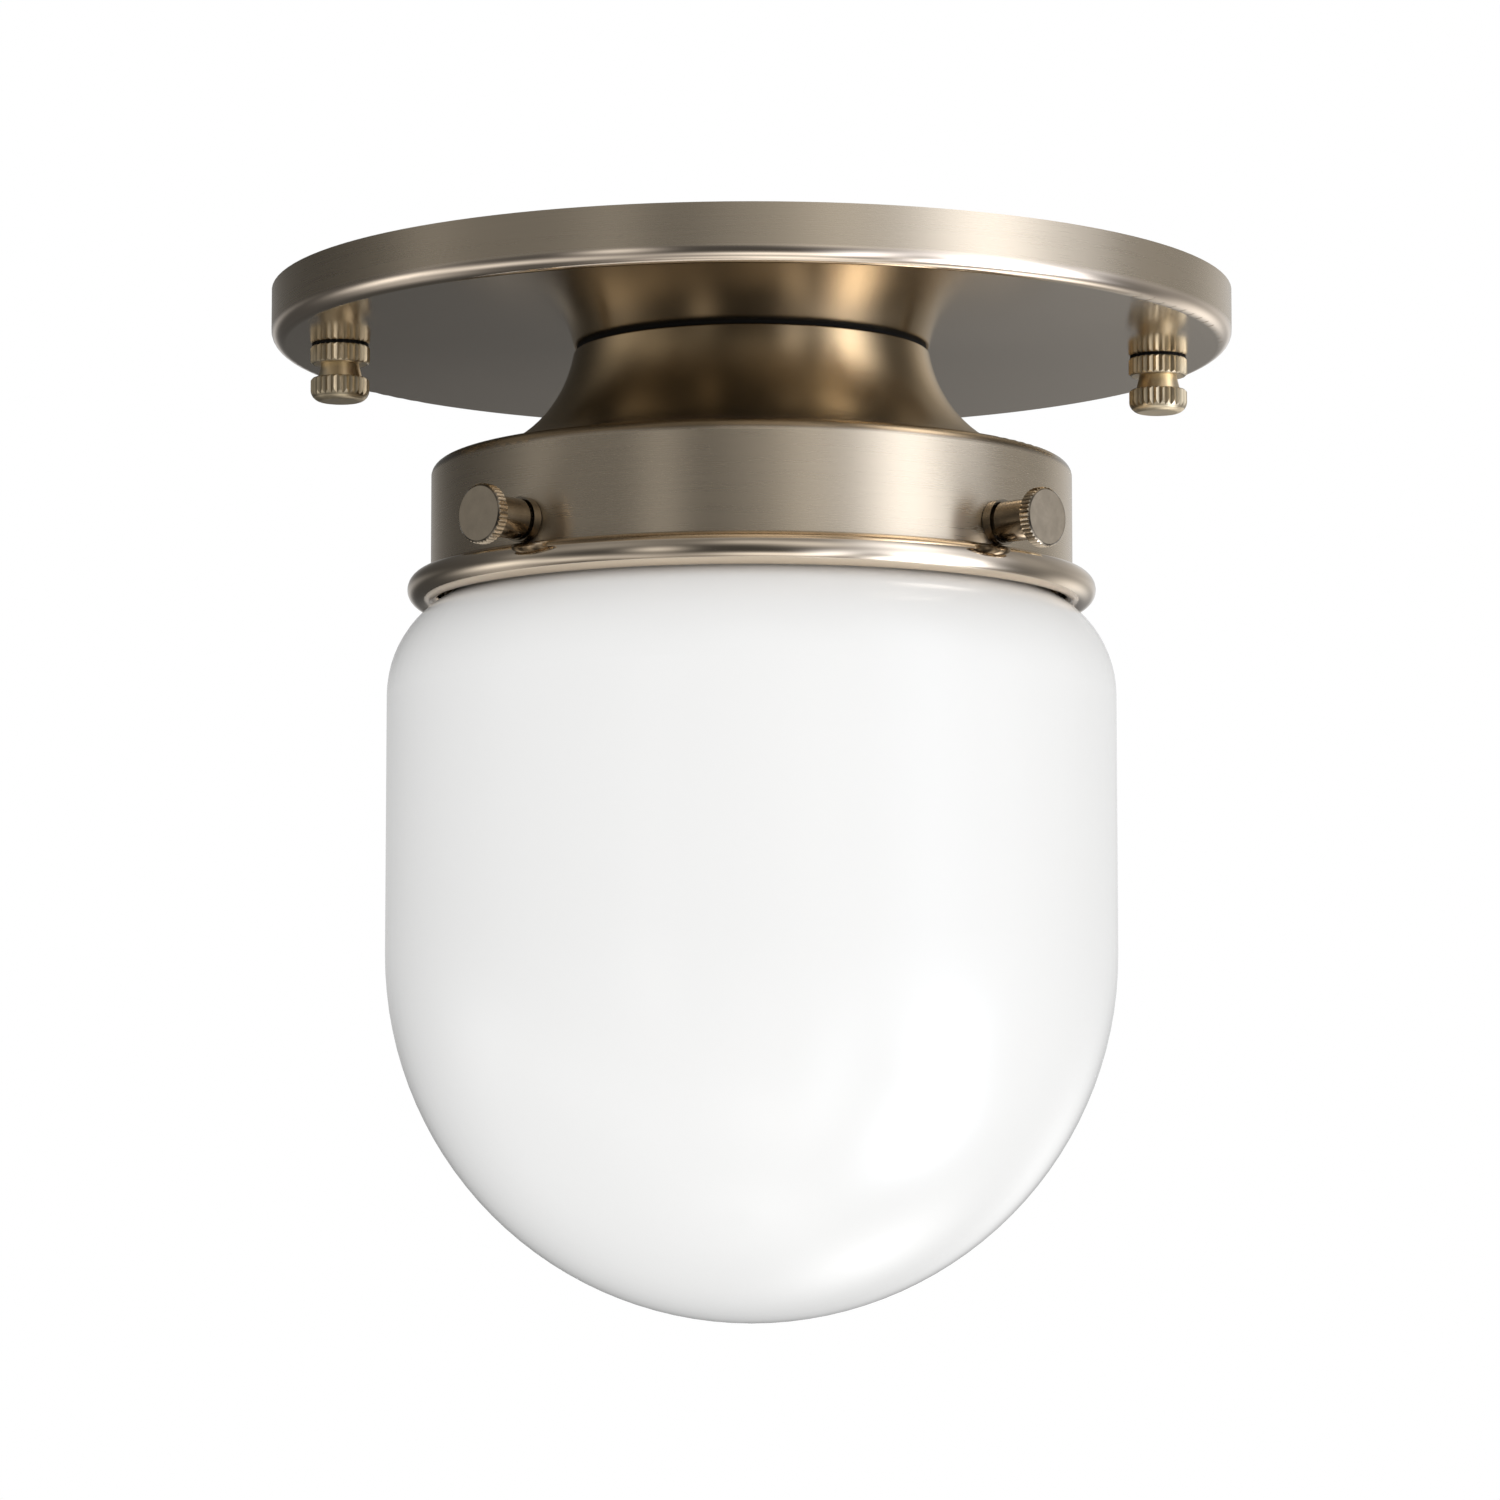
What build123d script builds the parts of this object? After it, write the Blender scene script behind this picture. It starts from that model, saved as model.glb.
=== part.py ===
"""Flush mount ceiling light: nickel canopy, spun shade holder, opal glass shade and screw lamp.

Millimetres, +Z up. The origin is on the light's axis, in the plane of the ceiling.
"""
import math
import os

from build123d import *

# General clearances
fit_gap = 0.05            # threaded or pressed pieces that stay together
turn_gap = 0.10           # threads that turn
free_gap = 0.30           # pieces that pass each other

# Ceiling canopy
canopy_diameter = 133.35
canopy_height = 7.6
canopy_edge_radius = 2.0
canopy_sheet = 1.0

# Crossbar in the ceiling box
crossbar_end = 5.35       # beyond each stud
crossbar_width = 15.0
crossbar_thickness = 1.6
crossbar_eye_diameter = 24.0
crossbar_eye_hole = 11.0
box_screw_spacing = 88.9
box_slot_length = 12.0
box_slot_width = 4.6

# Ground screw in the crossbar
ground_screw_place = 24.0
ground_screw_diameter = 3.8
ground_screw_head = 8.0
ground_screw_head_height = 2.4

# Canopy studs, their lock nuts and the knurled nuts below
stud_inset = 9.525        # from the canopy's edge to the stud
stud_diameter = 4.17
stud_nut_flats = 8.7
stud_nut_height = 2.2
nut_washer_thickness = 0.2
nut_washer_diameter = 7.8
nut_ring_diameter = 8.2
nut_ring_height = 2.5
nut_waist_diameter = 5.2
nut_flare_diameter = 6.2  # the waist where it meets the knob
nut_waist_height = 2.0
nut_knob_diameter = 8.1
nut_knob_height = 3.2
nut_ridges = 28
nut_ridge_depth = 0.3
nut_cap = 1.5             # solid end below the nut's bore

# Hollow threaded nipple and what is screwed on it
nipple_diameter = 10.0
nipple_bore = 6.6
nipple_stand = 0.6        # nipple above the canopy's hex nut
bushing_flange = 0.7
bushing_wall = 0.6
bushing_depth = 4.0
lock_washer_diameter = 17.0
lock_washer_thickness = 0.8
hex_nut_flats = 14.0
hex_nut_height = 2.2
fitter_washer_diameter = 28.0
fitter_washer_thickness = 1.2

# Gasket between canopy and fitter
gasket_thickness = 0.5
gasket_setback = 0.5
gasket_width = 3.0

# Spun fitter that holds the shade
fitter_diameter = 88.9
fitter_height = 35.6
fitter_sheet = 1.2
neck_diameter = 49.6
neck_edge_radius = 0.3
cove_start = 10.0         # degrees from straight down, at the neck
cove_end = 88.0           # degrees from straight down, at the shoulder
shoulder_radius = 1.7
bead_radius = 2.2

# Thumbscrews and their wall bushes
screw_count = 4
screw_first_angle = 42.6
screw_above_mouth = 7.6
screw_diameter = 4.1
screw_tip_gap = 0.30
bush_diameter = 6.1
bush_height = 1.3
bush_body_diameter = 5.4
bush_inner_stand = 0.5
screw_neck_gap = 0.45     # between the bush and the screw's collar at rest
collar_diameter = 5.5
collar_length = 5.2
collar_bore = 3.0
collar_bore_depth = 3.4
head_diameter = 8.0
head_thickness = 1.8
head_ridges = 40
head_ridge_depth = 0.22
head_chamfer = 0.3

# Opal glass shade
shade_diameter = 100.8
shade_neck_diameter = 82.55
shade_wall = 2.6
shade_straight = 35.8
shade_neck_fillet = 2.0
shade_shoulder_angle = 62.0
shade_mouth_gap = 1.2     # between the bead and the glass below it
shade_top_gap = 2.0       # between the glass rim and the fitter above it

# Lampholder
cap_hub_diameter = 16.0
cap_hub_height = 4.5
cap_diameter = 35.0
cap_sheet = 1.2
cap_skirt = 7.0
set_screw_diameter = 3.0
set_screw_stand = 0.4
body_diameter = 37.0
body_floor = 7.0
body_cup_depth = 20.0
shell_sheet = 0.5
shell_setback = 1.0
shell_eye_diameter = 18.0
tongue_width = 5.0
tongue_thickness = 0.5
tongue_drop = 2.4
tongue_half_length = 5.0
rivet_diameter = 2.0
rivet_head_diameter = 3.6
rivet_head_height = 0.5
rivet_length = 3.5
terminal_screw_diameter = 3.0
terminal_screw_length = 3.0
terminal_head_diameter = 6.0
terminal_head_height = 1.6
terminal_drop = 5.0       # below the porcelain cup's floor

# Screw lamp
lamp_base_diameter = 26.0
lamp_thread_pitch = 3.63
lamp_thread_turns = 4
lamp_thread_depth = 0.7
lamp_base_shoulder = 1.6
lamp_base_skirt = 3.4
lamp_base_sheet = 0.5
lamp_tip_diameter = 9.0
lamp_tip_height = 1.2
lamp_insulator_height = 3.3
lamp_insulator_diameter = 21.0
lamp_globe_diameter = 48.0
lamp_flare_radius = 30.0
lamp_neck_length = 9.0
lamp_neck_in_base = 6.0
lamp_glass_wall = 0.8

# Heights of the stack on the axis
canopy_under = -canopy_height
canopy_plate_top = canopy_under + canopy_sheet
canopy_nut_top = canopy_plate_top + lock_washer_thickness + hex_nut_height
nipple_top = canopy_nut_top + nipple_stand
fitter_top = canopy_under - gasket_thickness
fitter_plate_under = fitter_top - fitter_sheet
fitter_nut_top = fitter_plate_under - fitter_washer_thickness
cap_top = fitter_nut_top - hex_nut_height
cap_plate_top = cap_top - cap_hub_height
cap_plate_under = cap_plate_top - cap_sheet
nipple_bottom = cap_plate_under
cap_skirt_bottom = cap_plate_under - cap_skirt
body_cup_floor = cap_plate_under - body_floor
body_bottom = body_cup_floor - body_cup_depth
tongue_low = body_cup_floor - tongue_thickness - tongue_drop
lamp_top = tongue_low - free_gap
insulator_top = lamp_top - lamp_tip_height
lamp_base_top = insulator_top - lamp_insulator_height
lamp_thread_top = lamp_base_top - lamp_base_shoulder
lamp_thread_bottom = lamp_thread_top - lamp_thread_turns * lamp_thread_pitch
lamp_base_bottom = lamp_thread_bottom - lamp_base_skirt

# Radii that several pieces share
fitter_radius = fitter_diameter / 2
fitter_inside = fitter_radius - fitter_sheet
bead_centre_r = fitter_inside + bead_radius
bead_centre_z = fitter_top - fitter_height + bead_radius
nipple_hole = nipple_diameter / 2 + fit_gap
shade_radius = shade_diameter / 2
shade_neck_radius = shade_neck_diameter / 2
lamp_base_radius = lamp_base_diameter / 2
shell_inside = lamp_base_radius + free_gap
shell_outside = shell_inside + shell_sheet
stud_place = canopy_diameter / 2 - stud_inset
stud_radius = stud_diameter / 2


def at(r, z):
    """A point of a half section, in the XZ plane."""
    return (r, 0, z)


def trail(start, heading, moves, inset=0.0):
    """Edges of a smooth run of lines and arcs in a half section.

    The heading is in degrees from straight down, towards +X. A move is (length, 0) for a line and
    (radius, turn) for an arc, with a positive turn towards +X. The inset moves the whole run to the
    inner side, parallel to itself.
    """
    angle = math.radians(heading)
    r = start[0] - inset * math.cos(angle)
    z = start[1] - inset * math.sin(angle)
    edges = []
    for size, turn in moves:
        if turn == 0:
            end = (r + size * math.sin(angle), z - size * math.cos(angle))
            edges.append(Line(at(r, z), at(*end)))
        else:
            side = math.copysign(1, turn)
            reach = side * (size + side * inset)
            centre = (r + reach * math.cos(angle), z + reach * math.sin(angle))
            half = angle + math.radians(turn / 2)
            angle += math.radians(turn)
            middle = (centre[0] - reach * math.cos(half), centre[1] - reach * math.sin(half))
            end = (centre[0] - reach * math.cos(angle), centre[1] - reach * math.sin(angle))
            edges.append(ThreePointArc(at(r, z), at(*middle), at(*end)))
        r, z = end
    return edges


def turned(edges):
    """The solid that a closed half section makes when it turns about the Z axis."""
    return revolve(make_face(edges), axis=Axis.Z)


def turned_points(points):
    """A turned solid with a straight-sided half section."""
    return turned(Polyline([at(r, z) for r, z in points], close=True).edges())


def rod(radius, low, high):
    """A round bar on the Z axis."""
    return Pos(0, 0, low) * extrude(Circle(radius), amount=high - low)


def ring(outer, inner, low, high):
    """A flat ring on the Z axis."""
    return Pos(0, 0, low) * extrude(Circle(outer) - Circle(inner), amount=high - low)


def hex_nut(flats, bore, low, high):
    """A plain hexagon nut on the Z axis, with its corners rounded off on both sides."""
    corner = flats / math.sqrt(3)
    soften = (corner - flats / 2) * 0.6
    blank = extrude(RegularPolygon(corner, 6) - Circle(bore), amount=high - low)
    lathe = turned_points(
        [
            (0, 0),
            (corner - soften, 0),
            (corner, soften / 2),
            (corner, high - low - soften / 2),
            (corner - soften, high - low),
            (0, high - low),
        ]
    )
    return Pos(0, 0, low) * (blank & lathe)


def knurled(diameter, ridges, depth, height):
    """A straight-knurled disc that stands on the XY plane."""
    step = math.pi / ridges
    rim = [diameter / 2 - depth * (i % 2) for i in range(2 * ridges)]
    corners = [(r * math.cos(i * step), r * math.sin(i * step)) for i, r in enumerate(rim)]
    return extrude(make_face(Polyline(corners, close=True)), amount=height)


def trimmed(diameter, height, chamfer):
    """A disc with both rims chamfered, to trim a knurled disc with."""
    r = diameter / 2
    return turned_points(
        [(0, 0), (r - chamfer, 0), (r, chamfer), (r, height - chamfer), (r - chamfer, height), (0, height)]
    )


def radial(shape, angle, z):
    """A shape that points along +Z, set to point outwards from the light's axis."""
    return Pos(0, 0, z) * Rot(0, 0, angle) * Rot(0, 90, 0) * shape


def save(name, *shapes):
    solids = [solid for shape in shapes for solid in shape.solids()]
    export_step(Compound(solids), f"parts/{name}.step")


def make_canopy():
    radius = canopy_diameter / 2
    straight = canopy_height - canopy_edge_radius
    flat = radius - canopy_edge_radius - nipple_hole
    side = [(straight, 0), (canopy_edge_radius, -90), (flat, 0)]
    outer = trail((radius, 0), 0, side)
    inner = trail((radius, 0), 0, side, inset=canopy_sheet)
    rim = Line(at(radius - canopy_sheet, 0), at(radius, 0))
    eye = Line(at(nipple_hole, canopy_under), at(nipple_hole, canopy_plate_top))
    pan = turned(outer + inner + [rim, eye])
    stud_hole = rod(stud_radius + free_gap, 2 * canopy_under, 0)
    return pan - Pos(stud_place, 0, 0) * stud_hole - Pos(-stud_place, 0, 0) * stud_hole


def make_crossbar():
    length = 2 * (stud_place + crossbar_end)
    strap = SlotOverall(length, crossbar_width) + Circle(crossbar_eye_diameter / 2)
    strap -= Circle(crossbar_eye_hole / 2)
    for side in (-1, 1):
        strap -= Pos(side * box_screw_spacing / 2, 0) * SlotOverall(box_slot_length, box_slot_width)
        strap -= Pos(side * stud_place, 0) * Circle(stud_radius + fit_gap)
    strap -= Pos(ground_screw_place, 0) * Circle(ground_screw_diameter / 2 + fit_gap)
    return extrude(strap, amount=-crossbar_thickness)


def make_ground_screw():
    under = -crossbar_thickness
    head = hex_nut(ground_screw_head, ground_screw_diameter / 2, under - ground_screw_head_height, under)
    shank = rod(ground_screw_diameter / 2, under - ground_screw_head_height, -fit_gap)
    return Pos(ground_screw_place, 0, 0) * (head + shank)


def nut_bore_depth():
    return nut_ring_height + nut_waist_height + nut_knob_height - nut_cap


def make_stud():
    reach = nut_washer_thickness + nut_bore_depth() - free_gap
    return rod(stud_radius, canopy_under - reach, -fit_gap)


def make_stud_nut():
    return hex_nut(
        stud_nut_flats,
        stud_radius + fit_gap,
        -crossbar_thickness - stud_nut_height,
        -crossbar_thickness,
    )


def make_nut_washer():
    low = canopy_under - nut_washer_thickness
    return ring(nut_washer_diameter / 2, stud_radius + free_gap, low, canopy_under)


def make_canopy_nut():
    """A ring against the washer, a flared waist and a knob with a rounded end, drawn upside down."""
    chamfer = nut_ridge_depth
    knob_start = nut_ring_height + nut_waist_height
    height = knob_start + nut_knob_height
    knob_r = nut_knob_diameter / 2
    dome_start = knob_start + nut_knob_height * 0.45
    dome_rim = knob_r * 0.66
    band = knurled(nut_ring_diameter, nut_ridges, nut_ridge_depth, nut_ring_height)
    band &= trimmed(nut_ring_diameter, nut_ring_height, chamfer)
    knob = Pos(0, 0, knob_start) * knurled(nut_knob_diameter, nut_ridges, nut_ridge_depth, nut_knob_height)
    bend = (knob_r - (knob_r - dome_rim) * 0.29, dome_start + (height - dome_start) * 0.71)
    knob &= turned(
        [
            Line(at(0, knob_start), at(knob_r - chamfer, knob_start)),
            Line(at(knob_r - chamfer, knob_start), at(knob_r, knob_start + chamfer)),
            Line(at(knob_r, knob_start + chamfer), at(knob_r, dome_start)),
            ThreePointArc(at(knob_r, dome_start), at(*bend), at(dome_rim, height)),
            Line(at(dome_rim, height), at(0, height)),
            Line(at(0, height), at(0, knob_start)),
        ]
    )
    waist = turned_points(
        [
            (0, chamfer),
            (nut_waist_diameter / 2, chamfer),
            (nut_waist_diameter / 2, nut_ring_height),
            (nut_flare_diameter / 2, knob_start),
            (nut_flare_diameter / 2, knob_start + chamfer),
            (0, knob_start + chamfer),
        ]
    )
    bore = rod(stud_radius + turn_gap, 0, nut_bore_depth())
    nut = band + waist + knob - bore
    return Pos(0, 0, canopy_under - nut_washer_thickness) * Rot(180, 0, 0) * nut


def make_nipple():
    return ring(nipple_diameter / 2, nipple_bore / 2, nipple_bottom, nipple_top)


def make_nipple_bushing():
    outer = nipple_bore / 2 - fit_gap
    bore = outer - bushing_wall
    flange = ring(nipple_diameter / 2, bore, nipple_top, nipple_top + bushing_flange)
    return flange + ring(outer, bore, nipple_top - bushing_depth, nipple_top)


def make_canopy_lock_washer():
    high = canopy_plate_top + lock_washer_thickness
    return ring(lock_washer_diameter / 2, nipple_hole, canopy_plate_top, high)


def make_canopy_hex_nut():
    return hex_nut(hex_nut_flats, nipple_hole, canopy_nut_top - hex_nut_height, canopy_nut_top)


def make_neck_gasket():
    outer = neck_diameter / 2 - gasket_setback
    return ring(outer, outer - gasket_width, fitter_top, canopy_under)


def cove():
    """The centre and radius of the arc from the fitter's neck out to its shoulder."""
    start = math.radians(cove_start)
    end = math.radians(cove_end)
    spread = fitter_radius - neck_diameter / 2 - shoulder_radius * (1 - math.cos(end))
    radius = spread / (math.cos(start) - math.cos(end))
    neck_z = fitter_top - neck_edge_radius * (1 - math.sin(start))
    centre = (neck_diameter / 2 + radius * math.cos(start), neck_z + radius * math.sin(start))
    return centre, radius


def cove_inside_z(r):
    """Height of the fitter's inner face at a radius under its cove."""
    centre, radius = cove()
    return centre[1] - math.sqrt((radius + fitter_sheet) ** 2 - (centre[0] - r) ** 2)


def make_fitter():
    centre, radius = cove()
    plate = neck_diameter / 2 - neck_edge_radius * math.cos(math.radians(cove_start)) - nipple_hole
    wall_top = centre[1] - radius * math.sin(math.radians(cove_end))
    wall_top -= shoulder_radius * math.sin(math.radians(cove_end))
    groove = bead_centre_z + math.sqrt(bead_radius**2 - (fitter_radius - bead_centre_r) ** 2)
    outer = trail(
        (nipple_hole, fitter_top),
        90,
        [
            (plate, 0),
            (neck_edge_radius, cove_start - 90),
            (radius, cove_end - cove_start),
            (shoulder_radius, -cove_end),
            (wall_top - groove, 0),
        ],
    )
    inner_radius = radius + fitter_sheet
    inner_start = math.degrees(math.asin((centre[1] - fitter_plate_under) / inner_radius))
    inner_neck = centre[0] - inner_radius * math.cos(math.radians(inner_start))
    inner = trail(
        (inner_neck, fitter_plate_under),
        inner_start,
        [
            (inner_radius, cove_end - inner_start),
            (shoulder_radius - fitter_sheet, -cove_end),
            (wall_top - bead_centre_z, 0),
        ],
    )
    top_angle = math.atan2(groove - bead_centre_z, fitter_radius - bead_centre_r)
    half = (top_angle - math.pi) / 2
    bulge = (bead_centre_r + bead_radius * math.cos(half), bead_centre_z + bead_radius * math.sin(half))
    bead = ThreePointArc(at(fitter_radius, groove), at(*bulge), at(fitter_inside, bead_centre_z))
    eye = Line(at(nipple_hole, fitter_top), at(nipple_hole, fitter_plate_under))
    plate_under = Line(at(nipple_hole, fitter_plate_under), at(inner_neck, fitter_plate_under))
    shell = turned(outer + inner + [bead, eye, plate_under])
    hole = rod(bush_body_diameter / 2 + fit_gap, fitter_inside / 2, fitter_radius + bead_radius)
    for angle in screw_angles():
        shell -= radial(hole, angle, screw_z())
    return shell


def screw_angles():
    return [screw_first_angle + i * 360 / screw_count for i in range(screw_count)]


def screw_z():
    return fitter_top - fitter_height + screw_above_mouth


def make_screw_bush():
    """Collar outside the wall, body through it, threaded right through."""
    body = rod(bush_body_diameter / 2, fitter_inside - bush_inner_stand, fitter_radius)
    collar = rod(bush_diameter / 2, fitter_radius, fitter_radius + bush_height)
    bore = rod(screw_diameter / 2 + turn_gap, 0, 2 * fitter_radius)
    return body + collar - bore


def screw_collar_start():
    return fitter_radius + bush_height + screw_neck_gap


def make_screw_shank():
    tip = shade_neck_radius + screw_tip_gap
    stem = rod(screw_diameter / 2, tip, screw_collar_start())
    stub_end = screw_collar_start() + collar_bore_depth
    return stem + rod(collar_bore / 2 - fit_gap, tip, stub_end)


def make_screw_head():
    start = screw_collar_start()
    collar = rod(collar_diameter / 2, start, start + collar_length)
    disc = knurled(head_diameter, head_ridges, head_ridge_depth, head_thickness)
    disc &= trimmed(head_diameter, head_thickness, head_chamfer)
    head = collar + Pos(0, 0, start + collar_length) * disc
    return head - rod(collar_bore / 2, 0, start + collar_bore_depth + fit_gap)


def make_shade():
    spread = shade_radius - shade_neck_radius
    angle = math.radians(shade_shoulder_angle)
    shoulder = spread / (1 - math.cos(angle)) - shade_neck_fillet
    under_bead = bead_centre_r - shade_radius + shoulder
    straight_top = bead_centre_z - bead_radius - shade_mouth_gap
    straight_top -= math.sqrt(shoulder**2 - under_bead**2)
    neck_bottom = straight_top + (shoulder + shade_neck_fillet) * math.sin(angle)
    rim = cove_inside_z(shade_neck_radius) - shade_top_gap - shade_wall / 2
    moves = [
        (rim - neck_bottom, 0),
        (shade_neck_fillet, shade_shoulder_angle),
        (shoulder, -shade_shoulder_angle),
        (shade_straight, 0),
        (shade_radius, -90),
    ]
    start = (shade_neck_radius, rim)
    outer = trail(start, 0, moves)
    inner = trail(start, 0, moves, inset=shade_wall)
    lip = ThreePointArc(
        at(shade_neck_radius - shade_wall, rim),
        at(shade_neck_radius - shade_wall / 2, rim + shade_wall / 2),
        at(shade_neck_radius, rim),
    )
    bottom = straight_top - shade_straight - shade_radius
    pole = Line(at(0, bottom), at(0, bottom + shade_wall))
    return turned(outer + inner + [lip, pole])


def make_fitter_washer():
    return ring(fitter_washer_diameter / 2, nipple_hole, fitter_nut_top, fitter_plate_under)


def make_fitter_hex_nut():
    return hex_nut(hex_nut_flats, nipple_hole, cap_top, fitter_nut_top)


def make_socket_cap():
    outer = cap_diameter / 2
    cap = turned_points(
        [
            (nipple_hole, cap_top),
            (cap_hub_diameter / 2, cap_top),
            (cap_hub_diameter / 2, cap_plate_top),
            (outer, cap_plate_top),
            (outer, cap_skirt_bottom),
            (outer - cap_sheet, cap_skirt_bottom),
            (outer - cap_sheet, cap_plate_under),
            (nipple_hole, cap_plate_under),
        ]
    )
    hole = rod(set_screw_diameter / 2 + fit_gap, 0, cap_diameter)
    return cap - radial(hole, 0, set_screw_z())


def set_screw_z():
    return (cap_top + cap_plate_top) / 2


def make_socket_set_screw():
    screw = rod(set_screw_diameter / 2, nipple_hole, cap_hub_diameter / 2 + set_screw_stand)
    return radial(screw, 0, set_screw_z())


def rivet_place():
    return Pos(tongue_half_length - rivet_head_diameter / 2, 0, 0)


def terminal_z():
    return body_cup_floor - terminal_drop


def make_socket_body():
    spigot = rod(cap_diameter / 2 - cap_sheet - fit_gap, cap_skirt_bottom, cap_plate_under)
    barrel = rod(body_diameter / 2, body_bottom, cap_skirt_bottom)
    cup = rod(shell_outside + fit_gap, body_bottom, body_cup_floor)
    rivet_hole = rod(rivet_diameter / 2 + fit_gap, body_cup_floor, body_cup_floor + rivet_length)
    body = spigot + barrel - cup - rivet_place() * rivet_hole
    screw_hole = rod(terminal_screw_diameter / 2 + fit_gap, shell_outside, body_diameter)
    for angle in (90, 270):
        body -= radial(screw_hole, angle, terminal_z())
    return body


def make_screw_shell():
    """Thin cup against the porcelain floor, with an eye for the tongue."""
    low = body_bottom + shell_setback
    wall = ring(shell_outside, shell_inside, low, body_cup_floor)
    floor = ring(shell_outside, shell_eye_diameter / 2, body_cup_floor - shell_sheet, body_cup_floor)
    return wall + floor


def make_centre_contact():
    """Flat at the rivet, then sprung down and along under the lamp's tip."""
    end = tongue_half_length
    bend = end - rivet_head_diameter
    high = body_cup_floor
    low = tongue_low + tongue_thickness
    side = [
        (end, high),
        (bend, high),
        (0, low),
        (-end / 2, low),
        (-end / 2, low - tongue_thickness),
        (0, low - tongue_thickness),
        (bend, high - tongue_thickness),
        (end, high - tongue_thickness),
    ]
    face = make_face(Polyline([at(x, z) for x, z in side], close=True))
    strip = extrude(face, amount=tongue_width / 2, both=True)
    hole = rod(rivet_diameter / 2 + fit_gap, tongue_low, body_cup_floor)
    return strip - rivet_place() * hole


def make_contact_rivet():
    under = body_cup_floor - tongue_thickness
    head = rod(rivet_head_diameter / 2, under - rivet_head_height, under)
    shank = rod(rivet_diameter / 2, under, body_cup_floor + rivet_length - fit_gap)
    return rivet_place() * (head + shank)


def make_terminal_screw(angle):
    start = body_diameter / 2
    head = rod(terminal_head_diameter / 2, start, start + terminal_head_height)
    slot = Pos(0, 0, start + terminal_head_height) * Box(
        terminal_head_diameter, terminal_head_height / 2, terminal_head_height
    )
    shank = rod(terminal_screw_diameter / 2, start - terminal_screw_length, start)
    return radial(head - slot + shank, angle, terminal_z())


def make_lamp_base():
    """Rolled screw base, open below for the glass neck."""
    root = lamp_base_radius - lamp_thread_depth
    bore = root - lamp_base_sheet
    edges = [
        Line(at(0, lamp_base_top), at(lamp_insulator_diameter / 2, lamp_base_top)),
        Line(at(lamp_insulator_diameter / 2, lamp_base_top), at(root, lamp_thread_top)),
    ]
    for i in range(lamp_thread_turns):
        high = lamp_thread_top - i * lamp_thread_pitch
        low = high - lamp_thread_pitch
        crest = at(lamp_base_radius, (high + low) / 2)
        edges.append(ThreePointArc(at(root, high), crest, at(root, low)))
    floor = lamp_thread_top - lamp_base_sheet
    edges += Polyline(
        at(root, lamp_thread_bottom),
        at(root, lamp_base_bottom),
        at(bore, lamp_base_bottom),
        at(bore, floor),
        at(0, floor),
        at(0, lamp_base_top),
    ).edges()
    return turned(edges)


def make_lamp_insulator():
    return turned_points(
        [
            (0, insulator_top),
            (lamp_tip_diameter / 2, insulator_top),
            (lamp_insulator_diameter / 2, lamp_base_top),
            (0, lamp_base_top),
        ]
    )


def make_lamp_tip():
    """Domed solder contact."""
    rim = lamp_tip_diameter / 2
    crown = rim * 0.5
    bend = (rim * 0.82, insulator_top + lamp_tip_height * 0.72)
    return turned(
        [
            Line(at(0, insulator_top), at(rim, insulator_top)),
            ThreePointArc(at(rim, insulator_top), at(*bend), at(crown, lamp_top)),
            Line(at(crown, lamp_top), at(0, lamp_top)),
            Line(at(0, lamp_top), at(0, insulator_top)),
        ]
    )


def make_lamp_glass():
    """Thin pear-shaped envelope, its neck set in the base."""
    neck = lamp_base_radius - lamp_thread_depth - lamp_base_sheet - fit_gap
    globe = lamp_globe_diameter / 2
    flare = math.degrees(math.acos((neck + lamp_flare_radius) / (globe + lamp_flare_radius)))
    start_z = lamp_base_bottom + lamp_neck_in_base
    moves = [(lamp_neck_length, 0), (lamp_flare_radius, flare), (globe, -flare - 90)]
    outer = trail((neck, start_z), 0, moves)
    inner = trail((neck, start_z), 0, moves, inset=lamp_glass_wall)
    mouth = Line(at(neck - lamp_glass_wall, start_z), at(neck, start_z))
    bottom = start_z - lamp_neck_length
    bottom -= (lamp_flare_radius + globe) * math.sin(math.radians(flare)) + globe
    pole = Line(at(0, bottom), at(0, bottom + lamp_glass_wall))
    return turned(outer + inner + [mouth, pole])


def make_all():
    both_studs = [Pos(side * stud_place, 0, 0) for side in (-1, 1)]
    save("canopy", make_canopy())
    save("crossbar", make_crossbar())
    save("ground_screw", make_ground_screw())
    save("canopy_studs", *[place * make_stud() for place in both_studs])
    save("stud_lock_nuts", *[place * make_stud_nut() for place in both_studs])
    for name, place in zip(("left", "right"), both_studs):
        save(f"canopy_nut_{name}", place * make_canopy_nut())
        save(f"nut_washer_{name}", place * make_nut_washer())
    save("nipple", make_nipple())
    save("nipple_bushing", make_nipple_bushing())
    save("canopy_lock_washer", make_canopy_lock_washer())
    save("canopy_hex_nut", make_canopy_hex_nut())
    save("neck_gasket", make_neck_gasket())
    save("fitter", make_fitter())
    save("fitter_washer", make_fitter_washer())
    save("fitter_hex_nut", make_fitter_hex_nut())
    save("screw_bushes", *[radial(make_screw_bush(), angle, screw_z()) for angle in screw_angles()])
    for i, angle in enumerate(screw_angles(), 1):
        save(f"thumbscrew_shank_{i}", radial(make_screw_shank(), angle, screw_z()))
        save(f"thumbscrew_head_{i}", radial(make_screw_head(), angle, screw_z()))
    save("shade", make_shade())
    save("socket_cap", make_socket_cap())
    save("socket_set_screw", make_socket_set_screw())
    save("socket_body", make_socket_body())
    save("screw_shell", make_screw_shell())
    save("centre_contact", make_centre_contact())
    save("contact_rivet", make_contact_rivet())
    save("hot_terminal_screw", make_terminal_screw(90))
    save("neutral_terminal_screw", make_terminal_screw(270))
    save("bulb_base", make_lamp_base())
    save("bulb_insulator", make_lamp_insulator())
    save("bulb_tip", make_lamp_tip())
    save("bulb_glass", make_lamp_glass())


os.makedirs("parts", exist_ok=True)
make_all()
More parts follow.
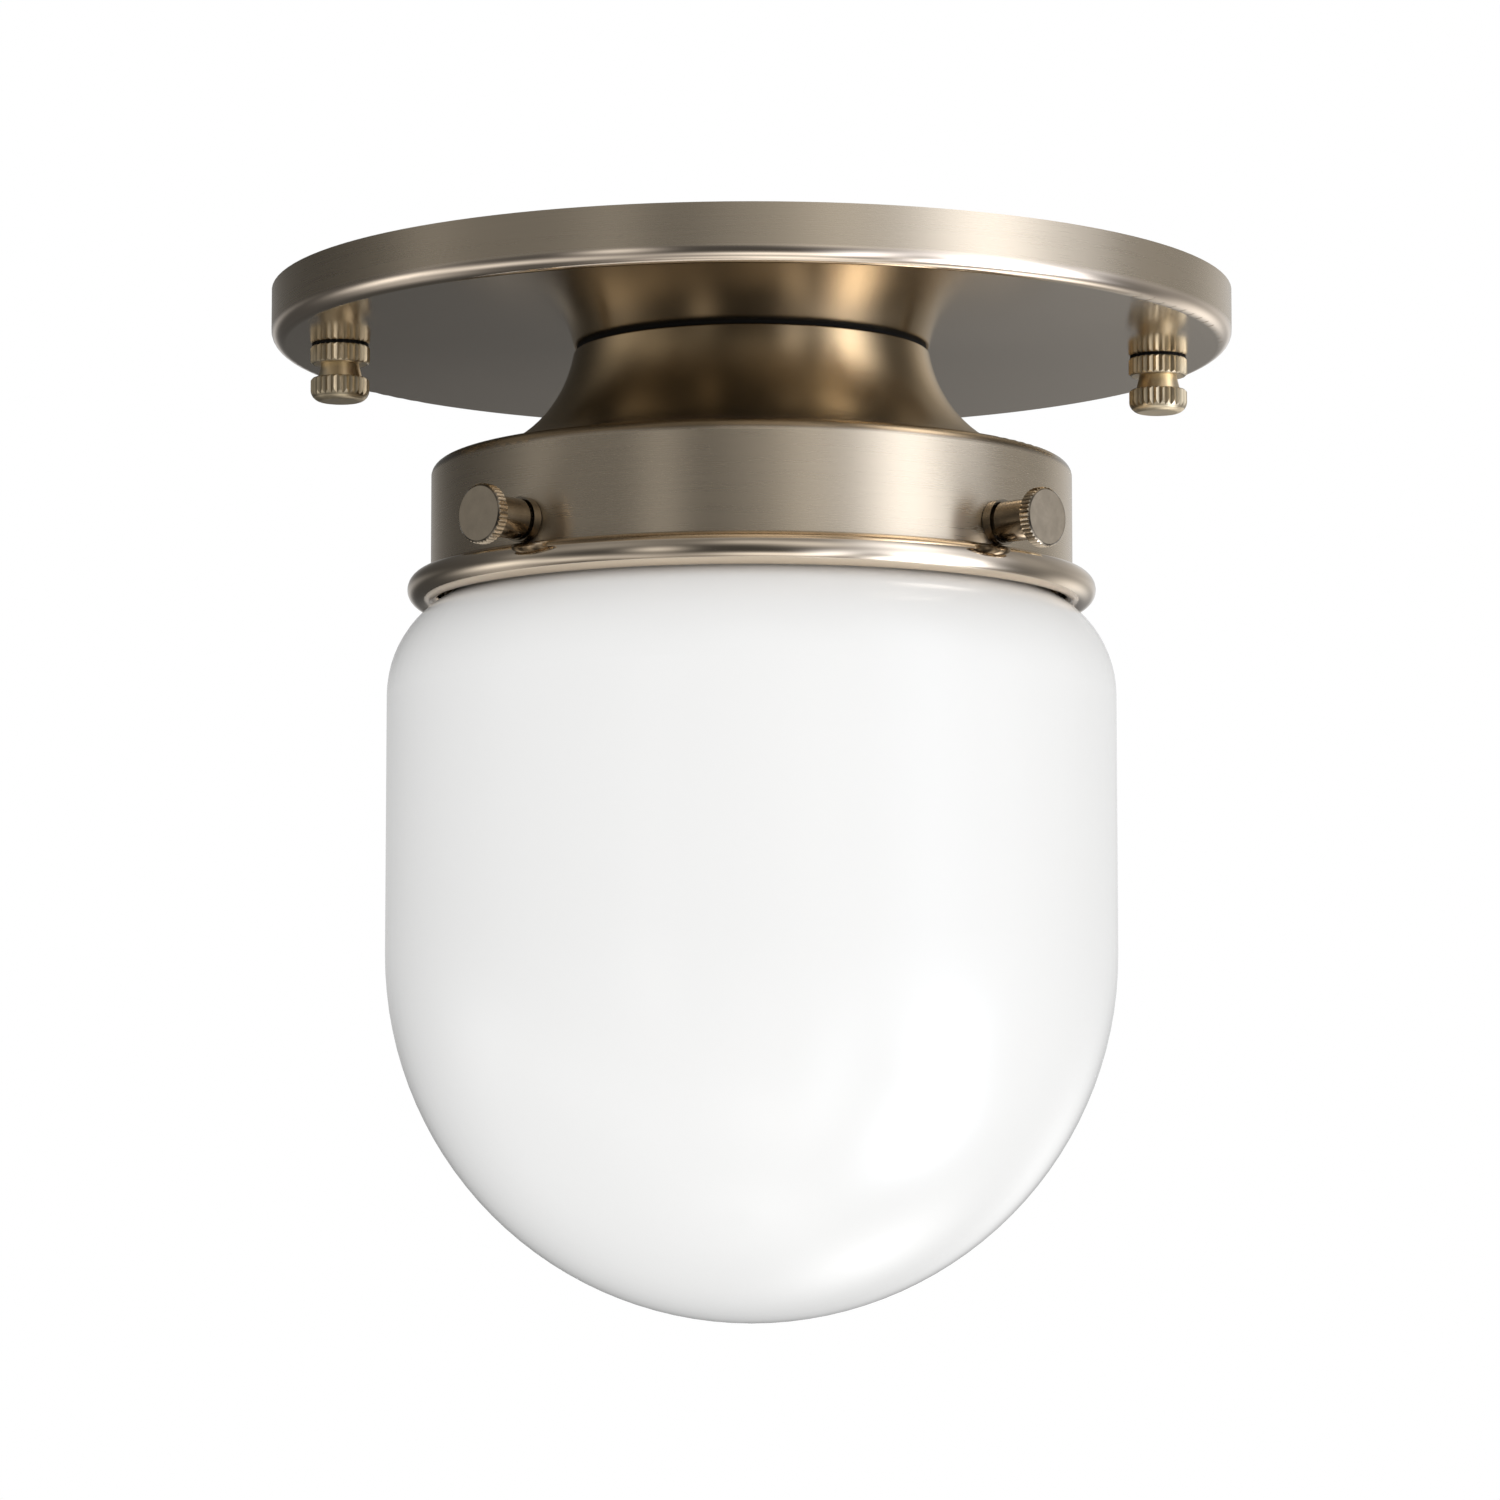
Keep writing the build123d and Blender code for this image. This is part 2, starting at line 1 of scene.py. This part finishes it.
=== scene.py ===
"""Looks of the flush mount ceiling light: its finishes, the studio around it and the camera.

Metres, +Z up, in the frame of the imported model. Angles of the studio are in degrees round the
light's axis, from the camera's side, and grow to the right as the camera sees it.
"""
import math

import bpy
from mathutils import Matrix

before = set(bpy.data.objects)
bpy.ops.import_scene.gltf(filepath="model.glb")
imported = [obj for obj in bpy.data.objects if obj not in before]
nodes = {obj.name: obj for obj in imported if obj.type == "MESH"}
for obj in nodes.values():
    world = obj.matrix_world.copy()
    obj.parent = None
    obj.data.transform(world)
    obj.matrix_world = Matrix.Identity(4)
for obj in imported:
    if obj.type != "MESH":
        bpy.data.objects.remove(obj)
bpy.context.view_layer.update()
scene = bpy.context.scene
MM = 0.001

# Camera, worked out from the circles of the canopy, holder and glass in the photograph
camera_distance = 0.757
camera_height = -0.1414
camera_turn = 4.8                # degrees that the camera stands to the left of the front
camera_pitch = 5.88              # degrees that it looks up
camera_side = -0.00022           # to the right of the line through the light's axis
focal_pixels = 5503
photo_pixels = 1500
sensor_width = 36.0
nearest, farthest = 0.05, 100.0  # the distances that the camera sees between

# Studio
dome_radius = 1.6
dome_base = 0.064                # the dome's light where no lobe reaches
dome_turn_step = 3
dome_rise_step = 2
dome_top = 88                    # degrees of rise at which a cap closes the dome
floor_height = -1.7
floor_size = 40.0
floor_white = 0.75               # share of plain white in the floor, seen as background
world_level = 0.85               # the white world's light on the part; as background it is 1
lamp_aim = -0.1                  # height that the lamps point at
lamp_distance = 1.15
lamp_width, lamp_height = 0.8, 0.9
# Soft lamps: name, turn and rise in degrees, level
lamps = [
    ("key", 16, -15, 1.17),
    ("side", 88, -15, 0.45),
    ("low", 20, -78, 0.45),
    ("back", 195, -15, 0.6),
]
# What the metal mirrors: turn, rise, half width and half height in degrees, brightness
window_tint = (0.94, 1.0, 1.13)
window_lobes = [
    (55, 20, 20, 25, 1.8),       # the window's upper half
    (60, -15, 20, 15, 1.8),      # its lower half
    (68, -27, 14, 10, 5.0),      # its sill
    (78, -47, 18, 13, 9.0),      # the sunlit table below it
    (30, -40, 10, 20, 1.5),      # a pale strip to the left of the table
    (85, 10, 10, 20, 0.5),       # the window's reveal
]
wall_tint = (1, 1, 1)
wall_lobes = [
    (20, 15, 13, 20, 0.6),       # the wall behind the camera, right to left
    (0, 25, 15, 15, 0.5),
    (-31, -12, 9, 16, 0.7),
    (-55, 25, 35, 20, 0.25),
    (-80, 10, 10, 15, 0.15),
    (-94, -21, 19, 12, 1.1),     # pale things low at the left
    (-112, -42, 22, 12, 0.35),
    (-72, -36, 16, 11, 0.6),
    (-50, -50, 20, 18, 0.5),
    (10, -55, 30, 12, 1.2),      # the floor, in front and all round
    (60, -85, 150, 12, 1.3),
    (105, 15, 15, 35, 0.25),     # the wall at the right and behind, and pale things low before it
    (140, 10, 25, 35, 0.35),
    (150, -20, 20, 12, 0.9),
    (145, -55, 22, 12, 2.5),
    (170, 15, 22, 10, 0.5),
    (180, 2, 34, 6, 0.5),
    (0, 85, 400, 30, 0.7),       # overhead
]

# Sizes of the part that its finishes follow
canopy_radius = 66.675 * MM
rim_low = -5.6 * MM              # where the canopy's side turns into its edge
edge_radius = 2.0 * MM
underside = -7.6 * MM
shoulder_high = -23.6 * MM       # the lower end of the throat
shoulder_corner = -25.2 * MM
shoulder_low = -25.7 * MM        # the upper end of the fitter's wall
bead_high = -39.3 * MM
stud_place = 57.15 * MM          # from the light's axis to a canopy nut's axis
screw_height = -36.1 * MM
screw_first_turn = 42.6          # degrees from +X
screw_crest, screw_root = 4.0 * MM, 3.78 * MM
collar_end = 51.4 * MM           # from the light's axis to the back of a thumbscrew's disc, up to which its collar gets painted shade
nut_crest, nut_root = 4.08 * MM, 3.78 * MM

# Colours, linear
nickel = (0.69, 0.58, 0.438)
painted_bead_highlight = (0.78, 0.657, 0.513)      # the rolled bead, lightened as painted highlight
painted_edge_highlight = (0.93, 0.785, 0.635)    # the canopy's polished edge, its colour lightened as painted highlight
painted_throat_shade = (0.43, 0.36, 0.258)         # the trumpet's throat, darkened as painted shade
painted_groove_shade = (0.3, 0.25, 0.19)         # painted shade in the crease above the bead and at the shoulder's corner
brass = (0.76, 0.63, 0.43)
bare_brass = (0.78, 0.60, 0.27)
zinc = (0.60, 0.60, 0.585)
steel = (0.58, 0.57, 0.54)
aluminium = (0.72, 0.72, 0.70)
solder = (0.5, 0.5, 0.51)
opal = (0.93, 0.93, 0.925)
frost_dark, frost_light = (0.84, 0.84, 0.82), (0.9, 0.9, 0.885)
porcelain = (0.86, 0.85, 0.81)
nylon = (0.8, 0.79, 0.74)
green_paint = (0.03, 0.22, 0.07)
black_fibre = (0.006, 0.0055, 0.005)
black_glass = (0.02, 0.02, 0.024)
floor_paint = (0.9, 0.9, 0.895, 1)

# Brushing of the spun nickel: the width of a line, and how fast it changes along its ring
fine_spacing, fine_drift = 0.16 * MM, 5.0
broad_spacing, broad_drift = 0.9 * MM, 2.0
fine_share = 0.6                 # what the fine lines make of the grain, the broad ones the rest
brush_depth, brush_strength = 6.0e-5, 0.6
grain_low, grain_high = 0.25, 0.75        # the range that most of the grain lies in
grain_shade = 0.94               # share of the colour that the grain's dark lines keep
# Shares of a stop's roughness: what is always there, what grain adds and what handling marks add
base_rough, grain_rough, marks_rough = 0.72, 0.4, 0.15
brush_stretch, brush_heading = 0.7, 0.25  # how far and which way highlights are drawn out
inside_roughness = 0.5           # the canopy's inside, which isn't polished
outer_match = 0.85               # how nearly a normal on the canopy's outside follows its plain form

# Other finishes
noise_low, noise_high = 0.3, 0.7          # the range that most of a noise lies in
# Sizes of the handling marks
spun_marks, turned_marks, plain_marks, moulded_marks = 14 * MM, 1.6 * MM, 9 * MM, 8 * MM
# Least and greatest share of its colour that a finish shows; the collar's pair is painted shade
turned_shades, collar_shade_shares = (0.92, 1.05), (0.36, 0.46)
plain_shades, moulded_shades, opal_shades = (0.9, 1.05), (0.9, 1.0), (0.985, 1.0)
knurl_flank = 0.7                # share of a knurl's depth that gets painted shade
knurl_core = 0.96                # share of the root's radius inside which no knurl, and so no painted shade, is
turned_grain, turned_depth = MM / 4.5, 4e-6
glass_index = 1.5
plain_gloss, opal_gloss, fibre_gloss = 0.5, 0.3, 0.1


def connect(tree, made, inputs):
    """Sets the inputs of a shader node. Each takes a value or another node's output."""
    for key, value in inputs.items():
        if isinstance(value, bpy.types.NodeSocket):
            tree.links.new(value, made.inputs[key])
        else:
            made.inputs[key].default_value = value


def add(tree, kind, inputs=None, **settings):
    """Adds a shader node with its settings and inputs."""
    made = tree.nodes.new("ShaderNode" + kind)
    for key, value in settings.items():
        setattr(made, key, value)
    connect(tree, made, inputs or {})
    return made


def math_node(tree, operation, *values):
    return add(tree, "Math", dict(enumerate(values)), operation=operation).outputs[0]


def vector_node(tree, operation, *values):
    made = add(tree, "VectorMath", dict(enumerate(values)), operation=operation)
    return made.outputs["Value" if operation in ("LENGTH", "DOT_PRODUCT") else "Vector"]


def mix(tree, kind, share, first, second, blend="MIX"):
    """Goes from first to second by a share. Kind is FLOAT, VECTOR or RGBA."""
    inputs = {"Factor": share, "A": first, "B": second}
    return add(tree, "Mix", inputs, data_type=kind, blend_type=blend).outputs["Result"]


def ramp(tree, value, *stops):
    """An even run of values between stops, each a (position, value) pair, lowest position first."""
    low, high = stops[0][0], stops[-1][0]
    share = add(tree, "MapRange", {"Value": value, "From Min": low, "From Max": high}).outputs[0]
    made = add(tree, "ValToRGB", {"Fac": share})
    points = made.color_ramp.elements
    while len(points) < len(stops):
        points.new(0.5)
    for point, (position, level) in zip(points, stops):
        point.position = (position - low) / (high - low)
        point.color = (*level, 1) if isinstance(level, tuple) else (level, level, level, 1)
    return made.outputs[0]


def between(tree, noise, low, high):
    """Spreads a noise over the values from low to high."""
    return ramp(tree, noise, (noise_low, low), (noise_high, high))


def new_material(name):
    material = bpy.data.materials.new(name)
    material.use_nodes = True
    tree = material.node_tree
    return material, tree, tree.nodes["Principled BSDF"]


def set_surface(tree, shader):
    tree.links.new(shader, tree.nodes["Material Output"].inputs["Surface"])


def shade_of(colour, share):
    return tuple(c * share for c in colour)


def uneven(tree, marks, colour, shades):
    """A colour that goes from the least to the greatest of two shares of itself."""
    return between(tree, marks, *[shade_of(colour, share) for share in shades])


def place(tree):
    return add(tree, "TexCoord").outputs["Object"]


def height_of(tree, point):
    return add(tree, "SeparateXYZ", {0: point}).outputs["Z"]


def lathe_place(tree):
    """Direction from the axis, radius and height of a point."""
    point = place(tree)
    flat = vector_node(tree, "MULTIPLY", point, (1, 1, 0))
    heading = vector_node(tree, "NORMALIZE", flat)
    radius = vector_node(tree, "LENGTH", flat)
    return heading, radius, height_of(tree, point)


def lathe_lines(tree, heading, radius, height, spacing, drift):
    """Noise in fine rings round the axis: a line is about one spacing wide and fades along its ring."""
    across = math_node(tree, "DIVIDE", math_node(tree, "SUBTRACT", radius, height), spacing)
    lines = add(tree, "CombineXYZ", {"Z": across}).outputs[0]
    along = vector_node(tree, "MULTIPLY", heading, (drift, drift, 0))
    vector = vector_node(tree, "ADD", along, lines)
    inputs = {"Vector": vector, "Scale": 1.0, "Detail": 3.0, "Roughness": 0.6}
    return add(tree, "TexNoise", inputs).outputs[0]


def blotches(tree, size, detail=3.0):
    """Noise with spots of a size, for grain, handling marks and uneven polish."""
    inputs = {"Vector": place(tree), "Scale": 1 / size, "Detail": detail}
    return add(tree, "TexNoise", inputs).outputs[0]


def bump(tree, height, depth):
    return add(tree, "Bump", {"Height": height, "Distance": depth, "Strength": 1.0}).outputs[0]


def lathe_normal(tree, heading):
    """The surface's own normal, kept in the plane through the axis."""
    own = add(tree, "NewGeometry").outputs["Normal"]
    around = vector_node(tree, "CROSS_PRODUCT", (0, 0, 1), heading)
    stray = math_node(tree, "MULTIPLY", vector_node(tree, "DOT_PRODUCT", own, around), -1.0)
    return vector_node(tree, "NORMALIZE", vector_node(tree, "MULTIPLY_ADD", around, stray, own))


def edge_normal(tree, heading, radius, height, normal):
    """The normal of the canopy's side, rounded edge and underside.

    With it comes a 1 where the surface faces outwards. Elsewhere the normal is the one given.
    """
    beyond = math_node(tree, "SUBTRACT", radius, canopy_radius - edge_radius)
    below = math_node(tree, "SUBTRACT", rim_low, height)
    out, down = [math_node(tree, "MAXIMUM", reach, 0.0) for reach in (beyond, below)]
    drop = add(tree, "CombineXYZ", {"Z": math_node(tree, "MULTIPLY", down, -1.0)}).outputs[0]
    rounded = vector_node(tree, "NORMALIZE", vector_node(tree, "MULTIPLY_ADD", heading, out, drop))
    match = vector_node(tree, "DOT_PRODUCT", rounded, normal)
    outer = math_node(tree, "GREATER_THAN", match, outer_match)
    return mix(tree, "VECTOR", outer, normal, rounded), outer


def spun_nickel(name, *stops, rounded=False):
    """Nickel plate brushed in rings on the lathe. A stop is (height, roughness, colour), lowest first."""
    material, tree, bsdf = new_material(name)
    heading, radius, height = lathe_place(tree)
    fine = lathe_lines(tree, heading, radius, height, fine_spacing, fine_drift)
    broad = lathe_lines(tree, heading, radius, height, broad_spacing, broad_drift)
    rest = math_node(tree, "MULTIPLY", broad, 1 - fine_share)
    grain = math_node(tree, "MULTIPLY_ADD", fine, fine_share, rest)
    finish = ramp(tree, height, *[(level, rough) for level, rough, colour in stops])
    metal = ramp(tree, height, *[(level, colour) for level, rough, colour in stops])
    tone = ramp(tree, grain, (grain_low, grain_shade), (grain_high, 1.0))
    marks = math_node(tree, "MULTIPLY_ADD", blotches(tree, spun_marks), marks_rough, base_rough)
    spread = math_node(tree, "MULTIPLY_ADD", grain, grain_rough, marks)
    roughness = math_node(tree, "MULTIPLY", finish, spread)
    normal = lathe_normal(tree, heading)
    if rounded:
        normal, outer = edge_normal(tree, heading, radius, height, normal)
        roughness = mix(tree, "FLOAT", outer, inside_roughness, roughness)
    depth = math_node(tree, "MULTIPLY", math_node(tree, "POWER", finish, 2.0), brush_depth)
    relief = {"Height": grain, "Distance": depth, "Strength": brush_strength, "Normal": normal}
    connect(tree, bsdf, {
        "Base Color": mix(tree, "RGBA", 1.0, metal, tone, "MULTIPLY"),
        "Metallic": 1.0,
        "Roughness": roughness,
        "Normal": add(tree, "Bump", relief).outputs[0],
        "Anisotropic": brush_stretch,
        "Anisotropic Rotation": brush_heading,
        "Tangent": add(tree, "Tangent", direction_type="RADIAL", axis="Z").outputs[0],
    })
    return material


def knurled_metal(name, metal, spot, crest, root, valley_shade, smooth, rough, collar_shade_end=None):
    """Turned metal with painted shade: darker at the bottom of its knurl, and on the collar up to a given
    end.

    Spot gives a point's distance from the piece's axis and its place along it. Smooth and rough are
    the least and the greatest roughness.
    """
    material, tree, bsdf = new_material(name)
    reach, along = spot(tree)
    marks = blotches(tree, turned_marks)
    tone = uneven(tree, marks, metal, turned_shades)
    # painted shade: the knurl's valleys are darkened
    painted_valley_shade = ramp(tree, reach, (root, valley_shade), (root + (crest - root) * knurl_flank, 1.0))
    with_valley_shade = mix(tree, "RGBA", 1.0, tone, painted_valley_shade, "MULTIPLY")
    inner = math_node(tree, "LESS_THAN", reach, root * knurl_core)
    shown = mix(tree, "RGBA", inner, with_valley_shade, tone)
    # painted shade on the collar behind the disc
    if collar_shade_end:
        collar_shade = uneven(tree, marks, metal, collar_shade_shares)
        behind = math_node(tree, "LESS_THAN", along, collar_shade_end)
        shown = mix(tree, "RGBA", behind, shown, collar_shade)
    connect(tree, bsdf, {
        "Base Color": shown,
        "Metallic": 1.0,
        "Roughness": between(tree, marks, smooth, rough),
        "Normal": bump(tree, blotches(tree, turned_grain, 2.0), turned_depth),
    })
    return material


def nut_spot(tree):
    """Place of a point on the nearer canopy nut: distance from its axis, and height."""
    point = place(tree)
    offset = vector_node(tree, "SUBTRACT", vector_node(tree, "ABSOLUTE", point), (stud_place, 0, 0))
    reach = vector_node(tree, "LENGTH", vector_node(tree, "MULTIPLY", offset, (1, 1, 0)))
    return reach, height_of(tree, point)


def screw_spot(tree):
    """Place of a point on the thumbscrew of its quarter: distance from the screw's axis, and along it."""
    point = place(tree)
    inputs = {"Vector": point, "Angle": math.radians(45 - screw_first_turn)}
    swung = add(tree, "VectorRotate", inputs, rotation_type="Z_AXIS").outputs[0]
    quarter = add(tree, "SeparateXYZ", {0: vector_node(tree, "ABSOLUTE", swung)}).outputs
    apart = math_node(tree, "SUBTRACT", quarter["X"], quarter["Y"])
    total = math_node(tree, "ADD", quarter["X"], quarter["Y"])
    side, along = [math_node(tree, "MULTIPLY", value, math.sqrt(0.5)) for value in (apart, total)]
    rise = math_node(tree, "SUBTRACT", height_of(tree, point), screw_height)
    offset = add(tree, "CombineXYZ", {"X": side, "Y": rise}).outputs[0]
    return vector_node(tree, "LENGTH", offset), along


def plain_metal(name, colour, smooth, rough, grain_size, depth):
    """Sheet or turned metal with a fine grain and a polish that goes from smooth to rough."""
    material, tree, bsdf = new_material(name)
    marks = blotches(tree, plain_marks)
    connect(tree, bsdf, {
        "Base Color": uneven(tree, marks, colour, plain_shades),
        "Metallic": 1.0,
        "Roughness": between(tree, marks, smooth, rough),
        "Normal": bump(tree, blotches(tree, grain_size, 4.0), depth),
    })
    return material


def moulded(name, colour, smooth, rough, grain_size, depth, gloss=plain_gloss):
    """A glazed, moulded or painted surface, uneven from smooth to rough."""
    material, tree, bsdf = new_material(name)
    marks = blotches(tree, moulded_marks)
    connect(tree, bsdf, {
        "Base Color": uneven(tree, marks, colour, moulded_shades),
        "Roughness": between(tree, marks, smooth, rough),
        "Normal": bump(tree, blotches(tree, grain_size), depth),
        "Specular IOR Level": gloss,
    })
    return material


def opal_glass():
    """Glossy white glass, faintly uneven as blown glass is."""
    material, tree, bsdf = new_material("opal_glass")
    cloud = blotches(tree, 45 * MM, 2.0)
    connect(tree, bsdf, {
        "Base Color": uneven(tree, cloud, opal, opal_shades),
        "Roughness": between(tree, blotches(tree, 12 * MM), 0.08, 0.12),
        "Normal": bump(tree, blotches(tree, 26 * MM, 1.0), 6e-5),
        "IOR": glass_index,
        "Specular IOR Level": opal_gloss,
    })
    return material


def frosted_glass():
    """The lamp's envelope, etched white inside."""
    material, tree, bsdf = new_material("frosted_glass")
    cloud = blotches(tree, 20 * MM)
    connect(tree, bsdf, {
        "Base Color": between(tree, cloud, frost_dark, frost_light),
        "Roughness": between(tree, blotches(tree, 5 * MM), 0.18, 0.28),
        "Normal": bump(tree, blotches(tree, 0.5 * MM), 4e-6),
        "IOR": glass_index,
    })
    return material


def dress():
    """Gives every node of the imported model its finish."""
    # Painted shade darkens the knurls' valleys, and the thumbscrews' collars up to their discs
    knurl_screw = knurled_metal(
        "knurled_nickel", nickel, screw_spot, screw_crest, screw_root,
        valley_shade=0.3, smooth=0.12, rough=0.2, collar_shade_end=collar_end,
    )
    knurl_nut = knurled_metal(
        "knurled_brass", brass, nut_spot, nut_crest, nut_root,
        valley_shade=0.55, smooth=0.3, rough=0.42,
    )
    zinc_plate = plain_metal("zinc_steel", zinc, 0.28, 0.42, 0.5 * MM, 8e-6)
    plated = plain_metal("plated_steel", steel, 0.18, 0.3, 0.4 * MM, 5e-6)
    raw_brass = plain_metal("bare_brass", bare_brass, 0.22, 0.36, 0.4 * MM, 6e-6)
    finishes = {
        "canopy": spun_nickel(
            "canopy_nickel",
            (underside, 0.15, nickel),
            # the edge is polished, and its colour lightened as painted highlight
            (underside + 0.3 * MM, 0.10, painted_edge_highlight),
            (rim_low - 0.3 * MM, 0.10, painted_edge_highlight),
            (rim_low + 0.2 * MM, 0.28, nickel),
            rounded=True,
        ),
        "fitter": spun_nickel(
            "fitter_nickel",
            # the bead's colour is lightened as painted highlight
            (bead_high - 0.35 * MM, 0.10, painted_bead_highlight),
            # painted shade in the crease above the bead
            (bead_high, 0.2, painted_groove_shade),
            (bead_high + 0.25 * MM, 0.28, nickel),
            (shoulder_low, 0.28, nickel),
            # painted shade at the shoulder's corner
            (shoulder_corner, 0.26, painted_groove_shade),
            # the throat's colour is darkened as painted shade
            (shoulder_high, 0.24, painted_throat_shade),
        ),
        "shade": opal_glass(),
        # the bushes' nickel is darkened to half as painted shade
        "screw_bushes": plain_metal("turned_nickel", shade_of(nickel, 0.5), 0.14, 0.24, 0.3 * MM, 4e-6),
        "ground_screw": moulded("green_paint", green_paint, 0.3, 0.45, 0.6 * MM, 1e-5),
        "neck_gasket": moulded("black_fibre", black_fibre, 0.6, 0.8, 0.3 * MM, 2e-5, fibre_gloss),
        "nipple_bushing": moulded("nylon", nylon, 0.4, 0.5, 0.5 * MM, 8e-6),
        "socket_body": moulded("porcelain", porcelain, 0.08, 0.18, 1.2 * MM, 1.2e-5),
        "bulb_glass": frosted_glass(),
        "bulb_base": plain_metal("lamp_base_metal", aluminium, 0.2, 0.34, 0.5 * MM, 6e-6),
        "bulb_insulator": moulded("lamp_insulator_glass", black_glass, 0.06, 0.16, 0.8 * MM, 1e-5),
        "bulb_tip": plain_metal("solder", solder, 0.3, 0.5, 0.6 * MM, 2e-5),
        "neutral_terminal_screw": plated,
    }
    finishes["nut_washer_left"] = finishes["nut_washer_right"] = finishes["neck_gasket"]
    for name in nodes:
        if name.startswith("thumbscrew_head"):
            finishes[name] = knurl_screw
        elif name.startswith("canopy_nut"):
            finishes[name] = knurl_nut
        elif name.startswith("thumbscrew_shank"):
            finishes[name] = plated
        elif name in ("nipple", "screw_shell", "centre_contact", "contact_rivet", "hot_terminal_screw"):
            finishes[name] = raw_brass
        else:
            finishes.setdefault(name, zinc_plate)
        nodes[name].data.materials.clear()
        nodes[name].data.materials.append(finishes[name])


def put(name, data):
    """Adds an object to the scene."""
    made = bpy.data.objects.new(name, data)
    scene.collection.objects.link(made)
    return made


def heading_at(turn):
    """Direction from the light's axis, flat, at an angle from the camera's side."""
    angle = math.radians(turn - 90 - camera_turn)
    return math.cos(angle), math.sin(angle)


def make_camera():
    data = bpy.data.cameras.new("camera")
    data.sensor_fit = "HORIZONTAL"
    data.sensor_width = sensor_width
    data.lens = sensor_width * focal_pixels / photo_pixels
    data.clip_start = nearest
    data.clip_end = farthest
    camera = put("camera", data)
    out, right = heading_at(0), heading_at(90)
    camera.location = (
        out[0] * camera_distance + right[0] * camera_side,
        out[1] * camera_distance + right[1] * camera_side,
        camera_height,
    )
    camera.rotation_euler = (math.radians(90 + camera_pitch), 0, math.radians(-camera_turn))
    scene.camera = camera


def background_rays(tree):
    """1 for the rays that see the background: the camera's, mirrored ones and those through glass."""
    rays = add(tree, "LightPath").outputs
    seen = math_node(tree, "MAXIMUM", rays["Is Camera Ray"], rays["Is Glossy Ray"])
    return math_node(tree, "MAXIMUM", seen, rays["Is Transmission Ray"])


def make_world():
    """A white world, a little dimmer in what it lights than where it is seen."""
    world = bpy.data.worlds.new("studio")
    scene.world = world
    world.use_nodes = True
    tree = world.node_tree
    strength = math_node(tree, "MULTIPLY_ADD", background_rays(tree), 1 - world_level, world_level)
    connect(tree, tree.nodes["Background"], {"Color": (1, 1, 1, 1), "Strength": strength})


def make_floor():
    """A plain pale floor. What sees it as background sees it nearly white, with the shadow left in it."""
    half = floor_size / 2
    corners = [(-half, -half), (half, -half), (half, half), (-half, half)]
    mesh = bpy.data.meshes.new("floor")
    mesh.from_pydata([(x, y, floor_height) for x, y in corners], [], [(0, 1, 2, 3)])
    floor = put("floor", mesh)
    material, tree, bsdf = new_material("floor")
    connect(tree, bsdf, {"Base Color": floor_paint, "Roughness": 0.9})
    glow = add(tree, "Emission", {"Strength": 1.0}).outputs[0]
    share = math_node(tree, "MULTIPLY", background_rays(tree), floor_white)
    set_surface(tree, add(tree, "MixShader", {0: share, 1: bsdf.outputs[0], 2: glow}).outputs[0])
    mesh.materials.append(material)


def dome_light(turn, rise):
    """Colour and brightness of the studio in a direction from the light."""
    light = [dome_base] * 3
    for lobes, tint in ((window_lobes, window_tint), (wall_lobes, wall_tint)):
        for lobe_turn, lobe_rise, width, height, peak in lobes:
            aside = ((turn - lobe_turn + 180) % 360 - 180) / width
            above = (rise - lobe_rise) / height
            level = peak * math.exp(-(aside**2) - above**2)
            light = [c + level * t for c, t in zip(light, tint)]
    return light


def make_dome():
    """The studio's bright and dark walls, as a dome that only mirrored rays see."""
    turns = range(-180, 180, dome_turn_step)
    rises = range(-dome_top, dome_top + 1, dome_rise_step)
    points, lights = [], []
    for rise in rises:
        up, out = math.sin(math.radians(rise)), math.cos(math.radians(rise))
        for turn in turns:
            x, y = heading_at(turn)
            points.append((x * out * dome_radius, y * out * dome_radius, up * dome_radius))
            lights += [*dome_light(turn, rise), 1.0]
    row = len(turns)
    last = (len(rises) - 1) * row
    faces = [
        (start + k, start + (k + 1) % row, start + row + (k + 1) % row, start + row + k)
        for start in range(0, last, row)
        for k in range(row)
    ]
    faces += [tuple(range(row)), tuple(range(last, last + row))]
    mesh = bpy.data.meshes.new("dome")
    mesh.from_pydata(points, [], faces)
    mesh.attributes.new("light", "FLOAT_COLOR", "POINT").data.foreach_set("color", lights)
    dome = put("dome", mesh)
    material, tree, _ = new_material("dome")
    light = add(tree, "Attribute", attribute_name="light").outputs["Color"]
    set_surface(tree, add(tree, "Emission", {"Color": light}).outputs[0])
    mesh.materials.append(material)
    dome.visible_camera = False
    dome.visible_diffuse = False
    dome.visible_transmission = False
    dome.visible_shadow = False


def make_lamps():
    """Large soft lamps that light the glass and are hidden from mirrors, where the dome stands for them."""
    for name, turn, rise, level in lamps:
        data = bpy.data.lights.new(name, "AREA")
        data.shape = "RECTANGLE"
        data.size, data.size_y = lamp_width, lamp_height
        data.energy = level * math.pi * lamp_width * lamp_height
        lamp = put(name, data)
        x, y = heading_at(turn)
        out = lamp_distance * math.cos(math.radians(rise))
        lamp.location = (x * out, y * out, lamp_aim + lamp_distance * math.sin(math.radians(rise)))
        lamp.rotation_euler = (math.radians(90 - rise), 0, math.atan2(y, x) + math.radians(90))
        lamp.visible_camera = False
        lamp.visible_glossy = False


dress()
make_camera()
make_world()
make_floor()
make_dome()
make_lamps()
scene.view_settings.view_transform = "Standard"
